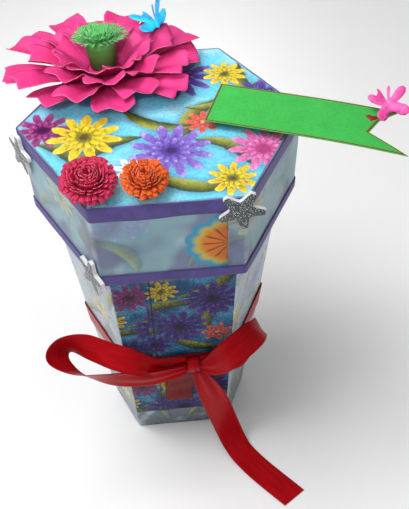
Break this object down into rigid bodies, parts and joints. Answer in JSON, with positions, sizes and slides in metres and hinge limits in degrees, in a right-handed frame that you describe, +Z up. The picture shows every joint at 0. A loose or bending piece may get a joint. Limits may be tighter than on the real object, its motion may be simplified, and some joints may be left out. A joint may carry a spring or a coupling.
{
  "type": "gift box with lift-off lid",
  "caption": "Tapered hexagonal card gift box tied with a satin bow, its lift-off lid dressed with paper flowers, foam stars, paper butterflies and a swallowtail tag.",
  "frame": {"origin": "middle of the underside of the base panel, which stands on the table", "axes": "+Z up, -Y towards the front face with the bow, +X to the right as seen from the front"},
  "size_m": [0.2422, 0.2323, 0.3162],
  "materials": {
    "base_panel": "plain grey board",
    "wall_front": "plain grey board",
    "wall_front_right": "plain grey board",
    "wall_back_right": "plain grey board",
    "wall_back": "plain grey board",
    "wall_back_left": "plain grey board",
    "wall_front_left": "plain grey board",
    "wall_paper": "semi-gloss printed paper",
    "front_sheet_left": "glossy floral gift wrap",
    "front_sheet_right": "glossy floral gift wrap",
    "ribbon_band": "red satin",
    "bow_knot": "red satin",
    "bow_loop_left": "red satin",
    "bow_loop_right": "red satin",
    "ribbon_tail_long": "red satin",
    "ribbon_tail_short": "red satin",
    "lid_panel": "plain grey board",
    "lid_cover_sheet": "glossy floral gift wrap",
    "skirt_front": "plain grey board",
    "skirt_front_right": "plain grey board",
    "skirt_back_right": "plain grey board",
    "skirt_back": "plain grey board",
    "skirt_back_left": "plain grey board",
    "skirt_front_left": "plain grey board",
    "skirt_paper": "semi-gloss printed paper",
    "trim_tape_upper": "matt purple tape",
    "trim_tape_lower": "matt purple tape",
    "star_front_right": "silver glitter on white foam",
    "star_front_left": "silver glitter on white foam",
    "star_side_left": "silver glitter on white foam",
    "flower_petals_lower": "hot pink craft paper",
    "flower_petals_upper": "hot pink craft paper",
    "flower_petals_middle": "hot pink craft paper",
    "flower_petals_inner": "hot pink craft paper",
    "flower_centre": "green craft paper",
    "quilled_flower_crimson": "crimson craft paper",
    "quilled_flower_orange": "orange craft paper",
    "gift_tag": "green card",
    "tag_pad_left": "white foam",
    "tag_pad_right": "white foam",
    "butterfly_blue": "cyan craft paper",
    "butterfly_pink": "rose craft paper"
  },
  "bodies": {
    "body": {"base_panel": "base_panel", "wall_front": "wall_front", "wall_front_right": "wall_front_right", "wall_back_right": "wall_back_right", "wall_back": "wall_back", "wall_back_left": "wall_back_left", "wall_front_left": "wall_front_left", "wall_paper": "wall_paper", "front_sheet_left": "front_sheet_left", "front_sheet_right": "front_sheet_right", "ribbon_band": "ribbon_band", "bow_knot": "bow_knot", "bow_loop_left": "bow_loop_left", "bow_loop_right": "bow_loop_right", "ribbon_tail_long": "ribbon_tail_long", "ribbon_tail_short": "ribbon_tail_short"},
    "lid": {"lid_panel": "lid_panel", "lid_cover_sheet": "lid_cover_sheet", "skirt_front": "skirt_front", "skirt_front_right": "skirt_front_right", "skirt_back_right": "skirt_back_right", "skirt_back": "skirt_back", "skirt_back_left": "skirt_back_left", "skirt_front_left": "skirt_front_left", "skirt_paper": "skirt_paper", "trim_tape_upper": "trim_tape_upper", "trim_tape_lower": "trim_tape_lower", "star_front_right": "star_front_right", "star_front_left": "star_front_left", "star_side_left": "star_side_left", "flower_petals_lower": "flower_petals_lower", "flower_petals_upper": "flower_petals_upper", "flower_petals_middle": "flower_petals_middle", "flower_petals_inner": "flower_petals_inner", "flower_centre": "flower_centre", "quilled_flower_crimson": "quilled_flower_crimson", "quilled_flower_orange": "quilled_flower_orange", "gift_tag": "gift_tag", "tag_pad_left": "tag_pad_left", "tag_pad_right": "tag_pad_right", "butterfly_blue": "butterfly_blue", "butterfly_pink": "butterfly_pink"}
  },
  "joints": [
    {"name": "lid_lift", "type": "slide", "parent": "body", "child": "lid", "axis": [0, 0, 1], "range_m": [0, 0.08]}
  ]
}
